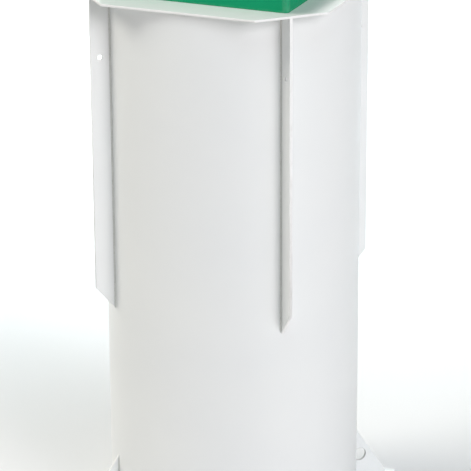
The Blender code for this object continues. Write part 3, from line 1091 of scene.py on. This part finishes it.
class StudioLight(bpy.types.PropertyGroup):
    """Strengths of the studio's lights."""

    left_high: power_property("Left high", 15600)
    left_rear: power_property("Left rear", 3300)
    rear_left: power_property("Rear left", 3900)
    rear: power_property("Rear", 7400)
    right_front: power_property("Right front", 15100)
    right_low: power_property("Right low", 2700)
    front_high: power_property("Front high", 5300)
    backdrop: power_property("Backdrop", 230)
    air: colour_property("Air", "Colour of the light from all round", "#FFFFFF")
    air_strength: FloatProperty(
        name="Air strength",
        description="Strength of the light from all round",
        default=0.07,
        min=0.0,
        max=5.0,
    )


class SEPTIC_TANK_OT_wall(bpy.types.Operator):
    """Build the round white wall"""

    bl_idname = "septic_tank.wall"
    bl_label = "Wall"
    bl_options = {"REGISTER", "UNDO"}

    def execute(self, context):
        build_wall(context.scene.tank_sizes, context.scene.tank_colours)
        return {"FINISHED"}


class SEPTIC_TANK_OT_base(bpy.types.Operator):
    """Build the square base plate"""

    bl_idname = "septic_tank.base"
    bl_label = "Base plate"
    bl_options = {"REGISTER", "UNDO"}

    def execute(self, context):
        build_base(context.scene.tank_sizes, context.scene.tank_colours)
        return {"FINISHED"}


class SEPTIC_TANK_OT_flange(bpy.types.Operator):
    """Build the top flange with the hatch mouth"""

    bl_idname = "septic_tank.flange"
    bl_label = "Top flange"
    bl_options = {"REGISTER", "UNDO"}

    def execute(self, context):
        build_flange(context.scene.tank_sizes, context.scene.tank_colours)
        return {"FINISHED"}


class SEPTIC_TANK_OT_ribs(bpy.types.Operator):
    """Build the four ribs under the flange"""

    bl_idname = "septic_tank.ribs"
    bl_label = "Ribs"
    bl_options = {"REGISTER", "UNDO"}

    def execute(self, context):
        build_ribs(context.scene.tank_sizes, context.scene.tank_colours)
        return {"FINISHED"}


class SEPTIC_TANK_OT_gussets(bpy.types.Operator):
    """Build the four gussets on the base plate"""

    bl_idname = "septic_tank.gussets"
    bl_label = "Gussets"
    bl_options = {"REGISTER", "UNDO"}

    def execute(self, context):
        build_gussets(context.scene.tank_sizes, context.scene.tank_colours)
        return {"FINISHED"}


class SEPTIC_TANK_OT_neck(bpy.types.Operator):
    """Build the hatch neck round the mouth"""

    bl_idname = "septic_tank.neck"
    bl_label = "Hatch neck"
    bl_options = {"REGISTER", "UNDO"}

    def execute(self, context):
        build_neck(context.scene.tank_sizes, context.scene.tank_colours)
        return {"FINISHED"}


class SEPTIC_TANK_OT_welds(bpy.types.Operator):
    """Build the weld beads between the plates"""

    bl_idname = "septic_tank.welds"
    bl_label = "Weld beads"
    bl_options = {"REGISTER", "UNDO"}

    def execute(self, context):
        build_welds(context.scene.tank_sizes, context.scene.tank_colours)
        return {"FINISHED"}


class SEPTIC_TANK_OT_lid(bpy.types.Operator):
    """Build the square green lid"""

    bl_idname = "septic_tank.lid"
    bl_label = "Lid"
    bl_options = {"REGISTER", "UNDO"}

    def execute(self, context):
        build_lid(context.scene.tank_sizes, context.scene.tank_colours)
        return {"FINISHED"}


class SEPTIC_TANK_OT_hinges(bpy.types.Operator):
    """Build the two steel hinges behind the lid"""

    bl_idname = "septic_tank.hinges"
    bl_label = "Hinges"
    bl_options = {"REGISTER", "UNDO"}

    def execute(self, context):
        build_hinges(context.scene.tank_colours)
        return {"FINISHED"}


class SEPTIC_TANK_OT_studio(bpy.types.Operator):
    """Build the floor, the lights, the air and the camera"""

    bl_idname = "septic_tank.studio"
    bl_label = "Studio"
    bl_options = {"REGISTER", "UNDO"}

    def execute(self, context):
        build_studio(context.scene.tank_studio, context.scene.tank_colours)
        return {"FINISHED"}


OPERATORS = (
    SEPTIC_TANK_OT_wall,
    SEPTIC_TANK_OT_base,
    SEPTIC_TANK_OT_flange,
    SEPTIC_TANK_OT_ribs,
    SEPTIC_TANK_OT_gussets,
    SEPTIC_TANK_OT_neck,
    SEPTIC_TANK_OT_welds,
    SEPTIC_TANK_OT_lid,
    SEPTIC_TANK_OT_hinges,
    SEPTIC_TANK_OT_studio,
)
GROUPS = {"tank_sizes": TankSizes, "tank_colours": TankColours, "tank_studio": StudioLight}


class SEPTIC_TANK_PT_panel(bpy.types.Panel):
    """Lists the septic tank's operators and their settings."""

    bl_idname = "SEPTIC_TANK_PT_panel"
    bl_label = "Septic tank"
    bl_space_type = "VIEW_3D"
    bl_region_type = "UI"
    bl_category = "Septic tank"

    def draw(self, context):
        for made in OPERATORS:
            self.layout.operator(made.bl_idname)
        for name, group in GROUPS.items():
            for setting in group.__annotations__:
                self.layout.prop(getattr(context.scene, name), setting)


CLASSES = (*GROUPS.values(), *OPERATORS, SEPTIC_TANK_PT_panel)


def register():
    for made in CLASSES:
        bpy.utils.register_class(made)
    for name, group in GROUPS.items():
        setattr(bpy.types.Scene, name, PointerProperty(type=group))


def unregister():
    for name in GROUPS:
        delattr(bpy.types.Scene, name)
    for made in reversed(CLASSES):
        bpy.utils.unregister_class(made)


def main():
    register()
    for made in OPERATORS:
        getattr(bpy.ops.septic_tank, made.bl_idname.split(".")[1])()


if __name__ == "__main__":
    main()
